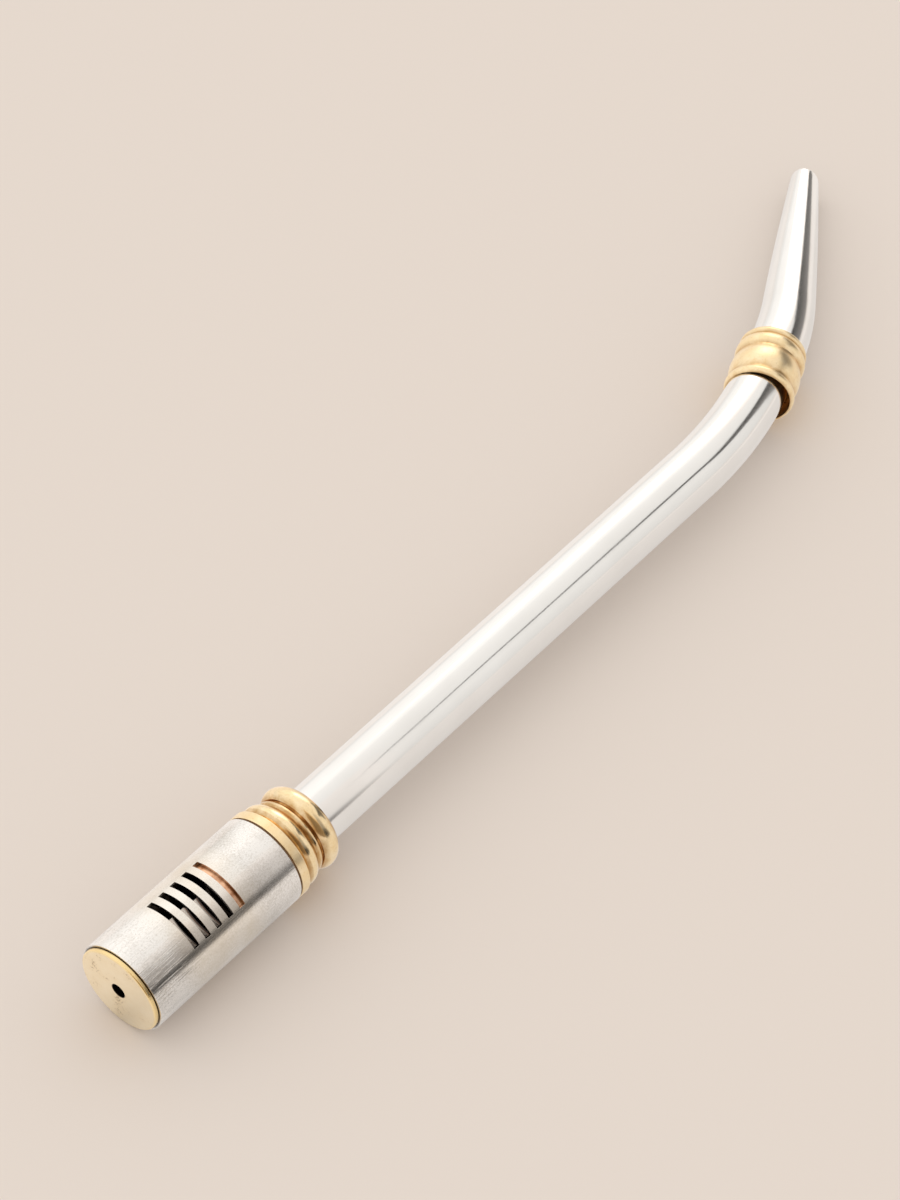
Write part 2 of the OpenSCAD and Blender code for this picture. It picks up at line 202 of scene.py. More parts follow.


# Turned brass, buffed by hand: pale gold on the crests, brown tarnish in the grooves and in fine specks,
# with faint lathe rings and shallow buffing hollows that bend the reflections. Its end inside the filter is
# painted nearly black: partly dried tea, partly painted shade.
def turnedBrass():
    look = {
        "crest": "#FFEFD0", "body": "#F0CE8F", "tarnish": "#B98A4E", "residueAndShade": "#1C130B",
        "smooth": 0.1, "rough": 0.24, "matt": 0.31,
        "ringWidth": 0.14, "ringDepth": 0.015, "ringDrift": 0.12,  # mm, and drift per mm round the axis
        "hollow": 2.4, "hollowDepth": 0.12, "stain": 2.2, "speck": 0.4,  # mm
    }
    material, tree = newMaterial("turnedBrass")
    along = addNode(tree, "ShaderNodeAttribute", attribute_name="pieceCoord").outputs["Vector"]
    grimeAndShade = addNode(tree, "ShaderNodeAttribute", attribute_name="grimeAndShade").outputs["Fac"]
    rings = addNode(tree, "ShaderNodeMapping", {
        "Vector": along, "Scale": (1 / look["ringWidth"], look["ringDrift"], look["ringDrift"])})
    lathe = addNode(tree, "ShaderNodeTexNoise", {"Vector": rings.outputs[0], "Scale": 1.0, "Detail": 2.0})
    hollows = addNode(tree, "ShaderNodeTexNoise", {
        "Vector": along, "Scale": 1 / look["hollow"], "Detail": 1.0})
    stains = addNode(tree, "ShaderNodeTexNoise", {
        "Vector": along, "Scale": 1 / look["stain"], "Detail": 5.0, "Roughness": 0.65})
    gold = addNode(tree, "ShaderNodeMix", {
        0: stains.outputs[0], 6: linear(look["crest"]), 7: linear(look["body"])}, data_type="RGBA")
    deep = addNode(tree, "ShaderNodeMath", {0: grimeAndShade, 1: stains.outputs[0]}, operation="MULTIPLY")
    cover = addNode(tree, "ShaderNodeMapRange", {
        "Value": deep.outputs[0], "From Min": 0.1, "From Max": 0.55, "To Min": 0.0, "To Max": 0.8})
    tint = addNode(tree, "ShaderNodeMix", {
        0: cover.outputs[0], 6: gold.outputs[2], 7: linear(look["tarnish"])}, data_type="RGBA")
    specks = addNode(tree, "ShaderNodeTexNoise", {
        "Vector": along, "Scale": 1 / look["speck"], "Detail": 3.0, "Roughness": 0.7})
    speckCover = addNode(tree, "ShaderNodeMapRange", {
        "Value": specks.outputs[0], "From Min": 0.55, "From Max": 0.75, "To Min": 0.0, "To Max": 0.35})
    specked = addNode(tree, "ShaderNodeMix", {
        0: speckCover.outputs[0], 6: tint.outputs[2], 7: linear(look["tarnish"])}, data_type="RGBA")
    # Painted shade, partly dried tea: where grime marks the wet end inside the filter, the colour turns
    # nearly black
    soakedAndShaded = addNode(tree, "ShaderNodeMapRange", {
        "Value": grimeAndShade, "From Min": 1.1, "From Max": 1.8, "To Min": 0.0, "To Max": 0.95})
    stained = addNode(tree, "ShaderNodeMix", {
        0: soakedAndShaded.outputs[0], 6: specked.outputs[2], 7: linear(look["residueAndShade"])}, data_type="RGBA")
    polish = addNode(tree, "ShaderNodeMapRange", {
        "Value": stains.outputs[0], "From Min": 0.3, "From Max": 0.7,
        "To Min": look["smooth"], "To Max": look["rough"]})
    dull = addNode(tree, "ShaderNodeAttribute", attribute_name="matt").outputs["Fac"]
    roughness = addNode(tree, "ShaderNodeMix", {
        0: dull, 2: polish.outputs[0], 3: look["matt"]}, data_type="FLOAT")
    hollowRelief = addNode(tree, "ShaderNodeBump", {
        "Height": hollows.outputs[0], "Strength": 0.2, "Distance": look["hollowDepth"] * mm})
    relief = addNode(tree, "ShaderNodeBump", {
        "Height": lathe.outputs[0], "Strength": 0.45, "Distance": look["ringDepth"] * mm,
        "Normal": hollowRelief.outputs[0]})
    shader = addNode(tree, "ShaderNodeBsdfPrincipled", {
        "Base Color": stained.outputs[2], "Metallic": 1.0,
        "Roughness": roughness.outputs[0], "Normal": relief.outputs[0]})
    addNode(tree, "ShaderNodeOutputMaterial", {"Surface": shader.outputs[0]})
    return material


# Faced brass left unpolished: pale and matt from handling, with fine pits, brown specks and the
# faint circles of the facing tool; its worn rim shines and is painted a deeper gold, partly wear and partly a
# painted highlight, and the wall of its hole is painted nearly black as painted shade.
def facedBrass():
    look = {
        "pale": "#F6E8CE", "dull": "#EAD3AB", "speck": "#8A6A43", "gold": "#F6D795", "residueAndShade": "#20160E",
        "matt": 0.42, "worn": 0.2,
        "rim": 6.75, "rimFade": 0.5, "hole": 1.34, "holeFade": 0.12,  # mm from the axis
        "toolStep": 0.22, "toolDepth": 0.006, "pit": 0.3, "pitDepth": 0.03, "stain": 2.6,  # mm
    }
    material, tree = newMaterial("facedBrass")
    along = addNode(tree, "ShaderNodeAttribute", attribute_name="pieceCoord").outputs["Vector"]
    flat = addNode(tree, "ShaderNodeVectorMath", {0: along, 1: (0, 1, 1)}, operation="MULTIPLY")
    radius = addNode(tree, "ShaderNodeVectorMath", {0: flat.outputs[0]}, operation="LENGTH")
    rim = addNode(tree, "ShaderNodeMapRange", {
        "Value": radius.outputs["Value"], "From Min": look["rim"], "From Max": look["rim"] + look["rimFade"]})
    circles = addNode(tree, "ShaderNodeMath", {
        0: radius.outputs["Value"], 1: 2 * math.pi / look["toolStep"]}, operation="MULTIPLY")
    tool = addNode(tree, "ShaderNodeMath", {0: circles.outputs[0]}, operation="SINE")
    pits = addNode(tree, "ShaderNodeTexNoise", {
        "Vector": along, "Scale": 1 / look["pit"], "Detail": 3.0, "Roughness": 0.7})
    stains = addNode(tree, "ShaderNodeTexNoise", {
        "Vector": along, "Scale": 1 / look["stain"], "Detail": 5.0, "Roughness": 0.6})
    gold = addNode(tree, "ShaderNodeMix", {
        0: stains.outputs[0], 6: linear(look["pale"]), 7: linear(look["dull"])}, data_type="RGBA")
    speckle = addNode(tree, "ShaderNodeMath", {
        0: pits.outputs[0], 1: stains.outputs[0]}, operation="MULTIPLY")
    speckCover = addNode(tree, "ShaderNodeMapRange", {
        "Value": speckle.outputs[0], "From Min": 0.33, "From Max": 0.42, "To Min": 0.0, "To Max": 0.7})
    tint = addNode(tree, "ShaderNodeMix", {
        0: speckCover.outputs[0], 6: gold.outputs[2], 7: linear(look["speck"])}, data_type="RGBA")
    # Partly wear, partly a painted highlight: the rim is painted a deeper gold
    edged = addNode(tree, "ShaderNodeMix", {
        0: rim.outputs[0], 6: tint.outputs[2], 7: linear(look["gold"])}, data_type="RGBA")
    # Painted shade: the wall of the hole and its edge are painted nearly black
    inHole = addNode(tree, "ShaderNodeMapRange", {
        "Value": radius.outputs["Value"], "From Min": look["hole"],
        "From Max": look["hole"] - look["holeFade"]})
    stained = addNode(tree, "ShaderNodeMix", {
        0: inHole.outputs[0], 6: edged.outputs[2], 7: linear(look["residueAndShade"])}, data_type="RGBA")
    roughness = addNode(tree, "ShaderNodeMapRange", {
        "Value": rim.outputs[0], "To Min": look["matt"], "To Max": look["worn"]})
    pitRelief = addNode(tree, "ShaderNodeBump", {
        "Height": pits.outputs[0], "Strength": 0.5, "Distance": look["pitDepth"] * mm})
    relief = addNode(tree, "ShaderNodeBump", {
        "Height": tool.outputs[0], "Strength": 0.12, "Distance": look["toolDepth"] * mm,
        "Normal": pitRelief.outputs[0]})
    shader = addNode(tree, "ShaderNodeBsdfPrincipled", {
        "Base Color": stained.outputs[2], "Metallic": 1.0,
        "Roughness": roughness.outputs[0], "Normal": relief.outputs[0]})
    addNode(tree, "ShaderNodeOutputMaterial", {"Surface": shader.outputs[0]})
    return material


# Turned copper alloy, oxidised inside the filter: warm red-brown with darker tea stains. Inside its outer
# skin, its bore, end faces and slot walls are painted nearly black: painted shade, partly dried tea.
def turnedCopper():
    look = {
        "clean": "#EDBD9A", "stained": "#A76D49", "residueAndShade": "#20140C", "smooth": 0.12, "rough": 0.24,
        "ringWidth": 0.2, "ringDepth": 0.012, "ringDrift": 0.15,  # mm, and drift per mm round the axis
        "stain": 1.8, "shadeStartRadius": 6.9, "copperShadeFullRadius": 6.75,  # mm, the radii from the axis
    }
    material, tree = newMaterial("turnedCopper")
    along = addNode(tree, "ShaderNodeAttribute", attribute_name="pieceCoord").outputs["Vector"]
    rings = addNode(tree, "ShaderNodeMapping", {
        "Vector": along, "Scale": (1 / look["ringWidth"], look["ringDrift"], look["ringDrift"])})
    lathe = addNode(tree, "ShaderNodeTexNoise", {"Vector": rings.outputs[0], "Scale": 1.0, "Detail": 2.0})
    stains = addNode(tree, "ShaderNodeTexNoise", {
        "Vector": along, "Scale": 1 / look["stain"], "Detail": 5.0})
    mottle = addNode(tree, "ShaderNodeMapRange", {
        "Value": stains.outputs[0], "From Min": 0.4, "From Max": 0.6})
    tint = addNode(tree, "ShaderNodeMix", {
        0: mottle.outputs[0], 6: linear(look["clean"]), 7: linear(look["stained"])}, data_type="RGBA")
    # Painted shade, partly dried tea: everything inside the outer skin of the bush turns nearly black
    flat = addNode(tree, "ShaderNodeVectorMath", {0: along, 1: (0, 1, 1)}, operation="MULTIPLY")
    radius = addNode(tree, "ShaderNodeVectorMath", {0: flat.outputs[0]}, operation="LENGTH")
    inside = addNode(tree, "ShaderNodeMapRange", {
        "Value": radius.outputs["Value"], "From Min": look["shadeStartRadius"], "From Max": look["copperShadeFullRadius"],
        "To Min": 0.0, "To Max": 0.95})
    soakedAndShaded = addNode(tree, "ShaderNodeMix", {
        0: inside.outputs[0], 6: tint.outputs[2], 7: linear(look["residueAndShade"])}, data_type="RGBA")
    roughness = addNode(tree, "ShaderNodeMapRange", {
        "Value": stains.outputs[0], "From Min": 0.3, "From Max": 0.7,
        "To Min": look["smooth"], "To Max": look["rough"]})
    relief = addNode(tree, "ShaderNodeBump", {
        "Height": lathe.outputs[0], "Strength": 0.3, "Distance": look["ringDepth"] * mm})
    shader = addNode(tree, "ShaderNodeBsdfPrincipled", {
        "Base Color": soakedAndShaded.outputs[2], "Metallic": 1.0,
        "Roughness": roughness.outputs[0], "Normal": relief.outputs[0]})
    addNode(tree, "ShaderNodeOutputMaterial", {"Surface": shader.outputs[0]})
    return material


# Pressed fibre seal soaked with tea: dark brown and matt, with a short felted grain
def fibreSeal():
    look = {"dark": "#523820", "worn": "#84603A", "matt": 0.8, "fibre": 0.25, "fibreDepth": 0.04}  # mm
    material, tree = newMaterial("pressedFibreSeal")
    along = addNode(tree, "ShaderNodeAttribute", attribute_name="pieceCoord").outputs["Vector"]
    fibres = addNode(tree, "ShaderNodeTexNoise", {
        "Vector": along, "Scale": 1 / look["fibre"], "Detail": 3.0})
    tint = addNode(tree, "ShaderNodeMix", {
        0: fibres.outputs[0], 6: linear(look["dark"]), 7: linear(look["worn"])}, data_type="RGBA")
    relief = addNode(tree, "ShaderNodeBump", {
        "Height": fibres.outputs[0], "Strength": 0.6, "Distance": look["fibreDepth"] * mm})
    shader = addNode(tree, "ShaderNodeBsdfPrincipled", {
        "Base Color": tint.outputs[2], "Roughness": look["matt"], "IOR": 1.5, "Normal": relief.outputs[0]})
    addNode(tree, "ShaderNodeOutputMaterial", {"Surface": shader.outputs[0]})
    return material


steelTube = polishedSteel()
steelSleeve = satinSteel()
brass = turnedBrass()
capBrass = facedBrass()
copper = turnedCopper()
sealFibre = fibreSeal()
print("materials made:", len(bpy.data.materials))


# Outlines are lists of (place along the axis, radius, corner rounding) in mm. A rounding takes at most a
# share of each side, and support points next to it keep the flats flat.
def rounded(corners, steps=4, share=0.45, support=1.1):
    points = []
    count = len(corners)
    for i, (x, r, size) in enumerate(corners):
        here = Vector((x, r))
        before = Vector(corners[i - 1][:2]) - here
        after = Vector(corners[(i + 1) % count][:2]) - here
        if size == 0:
            points.append((x, r))
            continue
        reach = min(size, share * before.length, share * after.length)
        start, end = before.normalized() * reach, after.normalized() * reach
        points.append(tuple(here + start * support))
        for k in range(steps + 1):
            t = k / steps
            points.append(tuple(here + start * (1 - t) ** 2 + end * t ** 2))
        points.append(tuple(here + end * support))
    return points


# A rounded band: an arc from its edge radius over its top radius and back
def bead(x, width, edge, top, steps=14):
    rise = top - edge
    arc = (width * width / 4 + rise * rise) / (2 * rise)
    half = math.asin(width / 2 / arc)
    turns = [half * (2 * k / steps - 1) for k in range(steps + 1)]
    return [(x + width / 2 + arc * math.sin(a), top - arc + arc * math.cos(a), 0) for a in turns]


# Joins rings of points, the last to the first, and turns the faces outwards
def ringMesh(name, rings):
    bm = bmesh.new()
    made = [[bm.verts.new(p) for p in ring] for ring in rings]
    sides = len(rings[0])
    for i in range(len(made)):
        here, there = made[i], made[(i + 1) % len(made)]
        for k in range(sides):
            n = (k + 1) % sides
            bm.faces.new((here[k], here[n], there[n], there[k]))
    if bm.calc_volume(signed=True) < 0:
        bmesh.ops.reverse_faces(bm, faces=bm.faces)
    mesh = bpy.data.meshes.new(name)
    bm.to_mesh(mesh)
    bm.free()
    return mesh


# A turned piece: its outline spun round X. Hollows are the shallow marks of hand buffing, in mm. They and
# the lean leave what lies inside the radius above as it is, because the bore fits the tubes. Matt and
# stained are ranges along the axis, and an empty range marks nothing; the brass paints the stained range
# nearly black, as painted shade partly for dried tea.
def turned(name, outline, sides=192, hollows=0.0, hollowSize=3.0, above=0.0, lean=(0, 0),
           matt=(1, 0), stained=(1, 0)):
    rings = []
    tilt = Matrix.Rotation(math.radians(lean[0]), 3, "Z") @ Matrix.Rotation(math.radians(lean[1]), 3, "Y")
    for x, r in outline:
        ring = []
        for k in range(sides):
            a = 2 * math.pi * k / sides
            way = Vector((0, math.cos(a), math.sin(a)))
            mark = noise.noise((way * r + Vector((x, 0, 0))) / hollowSize) if r > above else 0.0
            point = Vector((x, 0, 0)) + way * (r - hollows * abs(mark))
            ring.append(tilt @ point if r > above else point)
        rings.append(ring)
    mesh = ringMesh(name, rings)
    # Grime is the tarnish in the grooves, and the soaked value marks the stained range, which is painted
    # nearly black as painted shade
    tarnish = {"reach": 1.2, "depth": 0.6, "soakedAndShaded": 2.0}  # mm to a crest and below it, then grime under tea
    crests = [max(q for p, q in outline if abs(p - x) <= tarnish["reach"]) for x, r in outline]
    grimeAndShade = [tarnish["soakedAndShaded"] if stained[0] <= x <= stained[1]
             else min(1.0, max(0.0, (crest - r) / tarnish["depth"]))
             for crest, (x, r) in zip(crests, outline)]
    dull = [1.0 if any(low <= x <= high for low, high in (matt, stained)) else 0.0 for x, r in outline]
    for label, values in (("grimeAndShade", grimeAndShade), ("matt", dull)):
        layer = mesh.attributes.new(label, "FLOAT", "POINT")
        layer.data.foreach_set("value", [value for value in values for k in range(sides)])
    return mesh


# A bent tube: stations are (place, heading, length so far), with half sizes in and across the bend. Its
# patterns follow it as if it were straight.
def bentTube(name, stations, sizes, wall, sides=96, lip=0):
    rings, unrolled = [], []

    def addRing(station, inPlane, across):
        (x, y), heading, length = station
        side = Vector((-math.sin(heading), math.cos(heading), 0))
        for target, base, out in ((rings, Vector((x, y, 0)), side),
                                  (unrolled, Vector((length, 0, 0)), Vector((0, 1, 0)))):
            target.append([
                base + out * inPlane * math.cos(2 * math.pi * k / sides)
                + Vector((0, 0, across * math.sin(2 * math.pi * k / sides))) for k in range(sides)])

    for station, (inPlane, across) in zip(stations, sizes):
        addRing(station, inPlane, across)
    (x, y), heading, length = stations[-1]
    ahead = Vector((math.cos(heading), math.sin(heading)))
    for i in range(1, lip):  # a rounded lip from the outside to the inside
        a = math.pi * i / lip
        step, inset = wall / 2 * math.sin(a), wall / 2 * (1 - math.cos(a))
        lipStation = (Vector((x, y)) + ahead * step, heading, length + step)
        addRing(lipStation, sizes[-1][0] - inset, sizes[-1][1] - inset)
    for station, (inPlane, across) in zip(reversed(stations), reversed(sizes)):
        addRing(station, inPlane - wall, across - wall)
    mesh = ringMesh(name, rings)
    layer = mesh.attributes.new("pieceCoord", "FLOAT_VECTOR", "POINT")
    layer.data.foreach_set("vector", [c for ring in unrolled for p in ring for c in p])
    return mesh


# Stations along a straight, a bend and a straight end
def bentPath(start, straight, radius, angle, end, straightSteps, bendSteps, endSteps):
    arc = radius * math.radians(angle)
    lengths = [straight * k / straightSteps for k in range(straightSteps)]
    lengths += [straight + arc * k / bendSteps for k in range(bendSteps)]
    lengths += [straight + arc + end * k / endSteps for k in range(endSteps + 1)]
    stations = []
    for length in lengths:
        heading = min(max(length - straight, 0), arc) / radius
        x = start + min(length, straight) + radius * math.sin(heading)
        y = radius * (1 - math.cos(heading))
        past = max(0.0, length - straight - arc)
        spot = Vector((x + past * math.cos(heading), y + past * math.sin(heading)))
        stations.append((spot, heading, length))
    return stations


# Runs a node tree with its inputs set by socket identifier, and gives the plain mesh
def meshFromTree(name, tree, values):
    holder = bpy.data.objects.new(name, bpy.data.meshes.new(name))
    scene.collection.objects.link(holder)
    modifier = holder.modifiers.new(name, "NODES")
    modifier.node_group = tree
    for item in tree.interface.items_tree:
        if item.item_type == "SOCKET" and item.in_out == "INPUT":
            modifier[item.identifier] = values[item.name]
    graph = bpy.context.evaluated_depsgraph_get()
    mesh = bpy.data.meshes.new_from_object(holder.evaluated_get(graph))
    holder.modifiers.remove(modifier)
    bpy.data.objects.remove(holder)
    return mesh


# A node tree with named inputs listed by kind, and the sockets that give them
def newTree(name, inputs):
    tree = bpy.data.node_groups.new(name, "GeometryNodeTree")
    for kind, labels in inputs.items():
        for label in labels:
            tree.interface.new_socket(label, in_out="INPUT", socket_type="NodeSocket" + kind)
    tree.interface.new_socket("Geometry", in_out="OUTPUT", socket_type="NodeSocketGeometry")
    return tree, addNode(tree, "NodeGroupInput").outputs


# The screw thread: a ridge that winds round Z and fades out at both ends
def threadTree():
    tree, given = newTree("threadRidge", {
        "Float": ["Radius", "Pitch", "Turns", "Root Width", "Top Width", "Height", "Fade"],
        "Material": ["Material"]})
    rise = addNode(tree, "ShaderNodeMath", {0: given["Pitch"], 1: given["Turns"]}, operation="MULTIPLY")
    helix = addNode(tree, "GeometryNodeCurveSpiral", {
        "Resolution": 64, "Rotations": given["Turns"], "Start Radius": given["Radius"],
        "End Radius": given["Radius"], "Height": rise.outputs[0]})
    upright = addNode(tree, "GeometryNodeSetCurveNormal", {0: helix.outputs[0]}, mode="Z_UP")
    along = addNode(tree, "GeometryNodeSplineParameter")
    fromMiddle = addNode(tree, "ShaderNodeMath", {0: along.outputs["Factor"], 1: 0.5}, operation="SUBTRACT")
    apart = addNode(tree, "ShaderNodeMath", {0: fromMiddle.outputs[0]}, operation="ABSOLUTE")
    fade = addNode(tree, "ShaderNodeMapRange", {
        "Value": apart.outputs[0], "From Min": 0.5, "From Max": given["Fade"], "To Min": 0.4, "To Max": 1.0})
    shape = addNode(tree, "GeometryNodeCurvePrimitiveQuadrilateral", {
        "Bottom Width": given["Root Width"], "Top Width": given["Top Width"],
        "Height": given["Height"], "Offset": 0.0}, mode="TRAPEZOID")
    ridge = addNode(tree, "GeometryNodeCurveToMesh", {
        "Curve": upright.outputs[0], "Profile Curve": shape.outputs[0], "Scale": fade.outputs[0],
        "Fill Caps": True})
    whole = addNode(tree, "GeometryNodeRealizeInstances", {0: ridge.outputs[0]})
    coated = addNode(tree, "GeometryNodeSetMaterial", {
        "Geometry": whole.outputs[0], "Material": given["Material"]})
    addNode(tree, "NodeGroupOutput", {0: coated.outputs[0]})
    return tree


# A tube standing on Z with a row of cross slots on top and one underneath
def slottedTree():
    cutting = {"sides": 288, "slotSteps": 56, "blade": 3.0, "past": 1.0}  # blade and overrun in mm
    tree, given = newTree("slottedTube", {
        "Float": ["Outer Radius", "Inner Radius", "Length", "Slot Start", "Slot Pitch", "Slot Width",
                  "Slot Span", "Top Angle", "Under Angle", "Stagger"],
        "Int": ["Top Count", "Under Count"], "Material": ["Material"]})
    rods = []
    for radius, past in ((given["Outer Radius"], 0.0), (given["Inner Radius"], cutting["past"])):
        height = addNode(tree, "ShaderNodeMath", {0: given["Length"], 1: past}, operation="ADD")
        top = addNode(tree, "ShaderNodeCombineXYZ", {"Z": height.outputs[0]})
        spine = addNode(tree, "GeometryNodeCurvePrimitiveLine", {
            "Start": (0, 0, -past), "End": top.outputs[0]})
        rim = addNode(tree, "GeometryNodeCurvePrimitiveCircle", {
            "Resolution": cutting["sides"], "Radius": radius})
        rods.append(addNode(tree, "GeometryNodeCurveToMesh", {
            "Curve": spine.outputs[0], "Profile Curve": rim.outputs[0], "Fill Caps": True}))
    body, hollow = rods
    step = addNode(tree, "ShaderNodeCombineXYZ", {"Z": given["Slot Pitch"]})
    cutters = []
    for count, angle, shift in ((given["Top Count"], given["Top Angle"], 0.0),
                                (given["Under Count"], given["Under Angle"], given["Stagger"])):
        arc = addNode(tree, "GeometryNodeCurveArc", {
            "Resolution": cutting["slotSteps"], "Radius": given["Outer Radius"],
            "Start Angle": angle, "Sweep Angle": given["Slot Span"]})
        upright = addNode(tree, "GeometryNodeSetCurveNormal", {0: arc.outputs[0]}, mode="Z_UP")
        blade = addNode(tree, "GeometryNodeCurvePrimitiveQuadrilateral", {
            "Width": cutting["blade"], "Height": given["Slot Width"]})
        cutter = addNode(tree, "GeometryNodeCurveToMesh", {
            "Curve": upright.outputs[0], "Profile Curve": blade.outputs[0], "Fill Caps": True})
        first = addNode(tree, "ShaderNodeMath", {0: given["Slot Start"], 1: shift}, operation="ADD")
        place = addNode(tree, "ShaderNodeCombineXYZ", {"Z": first.outputs[0]})
        row = addNode(tree, "GeometryNodeMeshLine", {
            "Count": count, "Start Location": place.outputs[0], "Offset": step.outputs[0]})
        cut = addNode(tree, "GeometryNodeInstanceOnPoints", {
            "Points": row.outputs[0], "Instance": cutter.outputs[0]})
        cutters.append(addNode(tree, "GeometryNodeRealizeInstances", {0: cut.outputs[0]}))
    slotted = addNode(
        tree, "GeometryNodeMeshBoolean", {"Mesh 1": body.outputs[0]}, operation="DIFFERENCE", solver="EXACT")
    for tool in [hollow] + cutters:
        tree.links.new(tool.outputs[0], slotted.inputs["Mesh 2"])
    whole = addNode(tree, "GeometryNodeRealizeInstances", {0: slotted.outputs[0]})
    coated = addNode(tree, "GeometryNodeSetMaterial", {
        "Geometry": whole.outputs[0], "Material": given["Material"]})
    addNode(tree, "NodeGroupOutput", {0: coated.outputs[0]})
    return tree


def joinMeshes(name, meshes):
    bm = bmesh.new()
    for mesh in meshes:
        bm.from_mesh(mesh)
    whole = bpy.data.meshes.new(name)
    bm.to_mesh(whole)
    bm.free()
    return whole


finish = {"sharpFrom": 32, "bevelFrom": 50, "bevelSteps": 2}  # degrees between faces


# Lays a mesh on the table, keeps its own coordinates for the patterns, and hangs it on its body
def addPiece(name, mesh, place, material, body, node, bevel=0.0):
    if "pieceCoord" not in mesh.attributes:
        layer = mesh.attributes.new("pieceCoord", "FLOAT_VECTOR", "POINT")
        layer.data.foreach_set("vector", [c for v in mesh.vertices for c in v.co])
    mesh.transform(place)
    mesh.materials.clear()
    mesh.materials.append(material)
    mesh.polygons.foreach_set("material_index", [0] * len(mesh.polygons))
    mesh.polygons.foreach_set("use_smooth", [True] * len(mesh.polygons))
    mesh.set_sharp_from_angle(angle=math.radians(finish["sharpFrom"]))
    piece = bpy.data.objects.new(name, mesh)
    scene.collection.objects.link(piece)
    if bevel:
        edge = piece.modifiers.new("brokenEdges", "BEVEL")
        edge.width = bevel * mm
        edge.segments = finish["bevelSteps"]
        edge.limit_method = "ANGLE"
        edge.angle_limit = math.radians(finish["bevelFrom"])
        edge.harden_normals = True
    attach(piece, body)
    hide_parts(node)
    print(name, "made:", len(mesh.polygons), "faces")


# Screw thread of collar and bush, in mm; each ridge's root is sunk into its wall
thread = {"Pitch": 1.5, "Turns": 4.0, "Root Width": 1.05, "Top Width": 0.3, "Height": 0.75, "Fade": 0.42,
          "sink": 0.12}
ridgeTree = threadTree()

# End cap
cap = {"face": -0.8, "rimRadius": 7.15, "edge": 0.42, "bevel": 0.1, "plugRadius": 6.94, "plugEnd": 5.0,
       "hollowRadius": 5.94, "hollowStart": 1.2, "holeRadius": 1.2}
capOutline = rounded([
    (cap["face"], cap["holeRadius"], 0.12), (cap["face"], cap["rimRadius"], cap["edge"]),
    (-cap["bevel"], cap["rimRadius"], 0.08), (0, cap["rimRadius"] - cap["bevel"], 0.05),
    (0, cap["plugRadius"], 0.04), (cap["plugEnd"], cap["plugRadius"], 0.25),
    (cap["plugEnd"], cap["hollowRadius"], 0.15), (cap["hollowStart"], cap["hollowRadius"], 0.3),
    (cap["hollowStart"], cap["holeRadius"], 0.08)])
addPiece("plugCap", turned("plugCap", capOutline, hollows=0.02, hollowSize=2.5, above=7.0),
         tablePlace, capBrass, "cap", "end_cap")

# Filter sleeve
slots = {"clock": 20.5, "span": 77.0}  # degrees, the clock from the upper side of the bend's plane
sleeve = {"Outer Radius": 7.55, "Inner Radius": 7.0, "Length": 29.4, "Top Count": 5, "Under Count": 5,
          "Slot Start": 9.6, "Slot Pitch": 2.36, "Slot Width": 1.05, "Stagger": 0.9,
          "Slot Span": math.radians(slots["span"]),
          "Top Angle": math.radians(180 + slots["clock"] - slots["span"] / 2),
          "Under Angle": math.radians(360 + slots["clock"] - slots["span"] / 2),
          "Material": steelSleeve}
slotTree = slottedTree()
sleeveMesh = meshFromTree("slottedSleeve", slotTree, sleeve)
sleeveMesh.transform(standToLie)
addPiece("slottedSleeve", sleeveMesh, tablePlace, steelSleeve,
         "filter", "filter_sleeve", bevel=0.05)

# Threaded bush in the top of the sleeve; the last slot underneath passes through it and the one before
# notches its end
bush = {"start": 17.9, "length": 11.3, "radius": 6.97, "boreRadius": 6.35, "threadStart": 22.8}
bushBody = meshFromTree("bushBody", slotTree, {
    **sleeve, "Outer Radius": bush["radius"], "Inner Radius": bush["boreRadius"], "Length": bush["length"],
    "Top Count": 0, "Slot Start": sleeve["Slot Start"] - bush["start"], "Material": copper})
bushBody.transform(Matrix.Translation((bush["start"], 0, 0)) @ standToLie)
bushRidge = meshFromTree("bushRidge", ridgeTree, {
    **thread, "Radius": bush["boreRadius"] - thread["sink"], "Material": copper})
halfTurn = Matrix.Rotation(math.pi, 4, "Z")  # its ridge runs between the turns of the collar's
bushRidge.transform(Matrix.Translation((bush["threadStart"], 0, 0)) @ standToLie @ halfTurn)
addPiece("threadedBush", joinMeshes("threadedBush", [bushBody, bushRidge]), tablePlace, copper,
         "filter", "sleeve_bush", bevel=0.06)

# Seal washer
washer = {"start": 29.42, "end": 29.73, "inner": 6.21, "outer": 7.45}
washerOutline = rounded([
    (washer["start"], washer["inner"], 0.05), (washer["start"], washer["outer"], 0.12),
    (washer["end"], washer["outer"], 0.12), (washer["end"], washer["inner"], 0.05)])
addPiece("sealWasher", turned("sealWasher", washerOutline), tablePlace, sealFibre,
         "washer", "collar_washer")

# Collar; a bead is its start, width, edge radius and top radius
collar = {"start": 29.75, "band": 1.6, "bandRadius": 7.55, "core": 5.95, "socketRadius": 4.78,
          "socketStart": 2.05, "boreRadius": 4.15, "spigotRadius": 5.65, "spigotEnd": -8.2, "length": 9.05,
          "beads": [(1.85, 2.6, 6.45, 7.2), (4.55, 1.3, 6.05, 6.45), (6.05, 3.0, 6.35, 7.1)],
          "threadStart": 22.8, "matt": (29.7, 31.4), "stained": (20, 23)}  # the flat band, and the wet end
collarCorners = [(0, collar["bandRadius"], 0.12), (collar["band"], collar["bandRadius"], 0.14),
                 (collar["band"], collar["core"], 0)]
for beadStart, width, edge, top in collar["beads"]:
    collarCorners += [(beadStart, collar["core"], 0)] + bead(beadStart, width, edge, top)
    if beadStart + width < collar["length"]:
        collarCorners.append((beadStart + width, collar["core"], 0))
